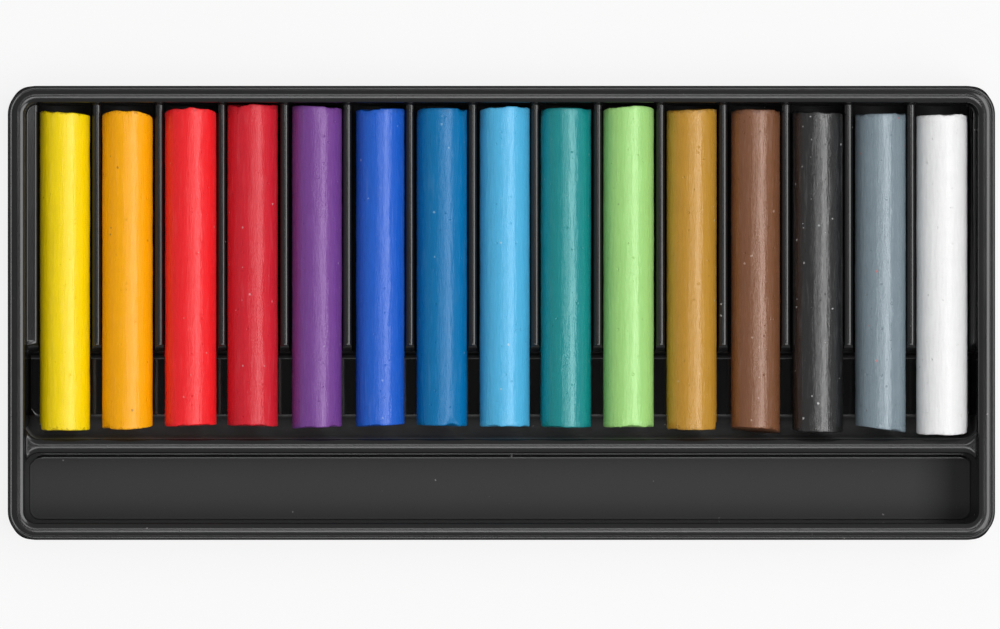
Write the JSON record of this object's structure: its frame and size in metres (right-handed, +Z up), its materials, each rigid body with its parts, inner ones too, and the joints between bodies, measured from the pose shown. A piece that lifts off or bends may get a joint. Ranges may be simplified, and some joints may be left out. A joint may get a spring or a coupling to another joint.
{
  "type": "pastel stick tray",
  "caption": "Thin drawn plastic tray that holds a row of round pastel sticks in half-round grooves, with a finger trough under their ends and a shallow lower well.",
  "frame": {"origin": "under the middle of the tray, on the surface that it stands on", "axes": "+X along the tray and the row of sticks, +Y towards the far ends of the sticks, +Z up"},
  "size_m": [0.215, 0.0994, 0.0168],
  "materials": {
    "tray_plastic": "gloss",
    "pastel_yellow": "satin",
    "pastel_orange": "satin",
    "pastel_red": "satin",
    "pastel_crimson": "satin",
    "pastel_violet": "satin",
    "pastel_ultramarine": "satin",
    "pastel_blue": "satin",
    "pastel_sky_blue": "satin",
    "pastel_teal": "satin",
    "pastel_light_green": "satin",
    "pastel_ochre": "satin",
    "pastel_brown": "satin",
    "pastel_black": "satin",
    "pastel_grey": "satin",
    "pastel_white": "satin"
  },
  "bodies": {
    "tray": {"tray": "tray_plastic"},
    "pastel_yellow": {"pastel_yellow": "pastel_yellow"},
    "pastel_orange": {"pastel_orange": "pastel_orange"},
    "pastel_red": {"pastel_red": "pastel_red"},
    "pastel_crimson": {"pastel_crimson": "pastel_crimson"},
    "pastel_violet": {"pastel_violet": "pastel_violet"},
    "pastel_ultramarine": {"pastel_ultramarine": "pastel_ultramarine"},
    "pastel_blue": {"pastel_blue": "pastel_blue"},
    "pastel_sky_blue": {"pastel_sky_blue": "pastel_sky_blue"},
    "pastel_teal": {"pastel_teal": "pastel_teal"},
    "pastel_light_green": {"pastel_light_green": "pastel_light_green"},
    "pastel_ochre": {"pastel_ochre": "pastel_ochre"},
    "pastel_brown": {"pastel_brown": "pastel_brown"},
    "pastel_black": {"pastel_black": "pastel_black"},
    "pastel_grey": {"pastel_grey": "pastel_grey"},
    "pastel_white": {"pastel_white": "pastel_white"}
  },
  "joints": [
    {"name": "pastel_yellow_lift", "type": "slide", "parent": "tray", "child": "pastel_yellow", "axis": [0, 0, 1], "range_m": [0, 0.02]},
    {"name": "pastel_orange_lift", "type": "slide", "parent": "tray", "child": "pastel_orange", "axis": [0, 0, 1], "range_m": [0, 0.02]},
    {"name": "pastel_red_lift", "type": "slide", "parent": "tray", "child": "pastel_red", "axis": [0, 0, 1], "range_m": [0, 0.02]},
    {"name": "pastel_crimson_lift", "type": "slide", "parent": "tray", "child": "pastel_crimson", "axis": [0, 0, 1], "range_m": [0, 0.02]},
    {"name": "pastel_violet_lift", "type": "slide", "parent": "tray", "child": "pastel_violet", "axis": [0, 0, 1], "range_m": [0, 0.02]},
    {"name": "pastel_ultramarine_lift", "type": "slide", "parent": "tray", "child": "pastel_ultramarine", "axis": [0, 0, 1], "range_m": [0, 0.02]},
    {"name": "pastel_blue_lift", "type": "slide", "parent": "tray", "child": "pastel_blue", "axis": [0, 0, 1], "range_m": [0, 0.02]},
    {"name": "pastel_sky_blue_lift", "type": "slide", "parent": "tray", "child": "pastel_sky_blue", "axis": [0, 0, 1], "range_m": [0, 0.02]},
    {"name": "pastel_teal_lift", "type": "slide", "parent": "tray", "child": "pastel_teal", "axis": [0, 0, 1], "range_m": [0, 0.02]},
    {"name": "pastel_light_green_lift", "type": "slide", "parent": "tray", "child": "pastel_light_green", "axis": [0, 0, 1], "range_m": [0, 0.02]},
    {"name": "pastel_ochre_lift", "type": "slide", "parent": "tray", "child": "pastel_ochre", "axis": [0, 0, 1], "range_m": [0, 0.02]},
    {"name": "pastel_brown_lift", "type": "slide", "parent": "tray", "child": "pastel_brown", "axis": [0, 0, 1], "range_m": [0, 0.02]},
    {"name": "pastel_black_lift", "type": "slide", "parent": "tray", "child": "pastel_black", "axis": [0, 0, 1], "range_m": [0, 0.02]},
    {"name": "pastel_grey_lift", "type": "slide", "parent": "tray", "child": "pastel_grey", "axis": [0, 0, 1], "range_m": [0, 0.02]},
    {"name": "pastel_white_lift", "type": "slide", "parent": "tray", "child": "pastel_white", "axis": [0, 0, 1], "range_m": [0, 0.02]}
  ]
}
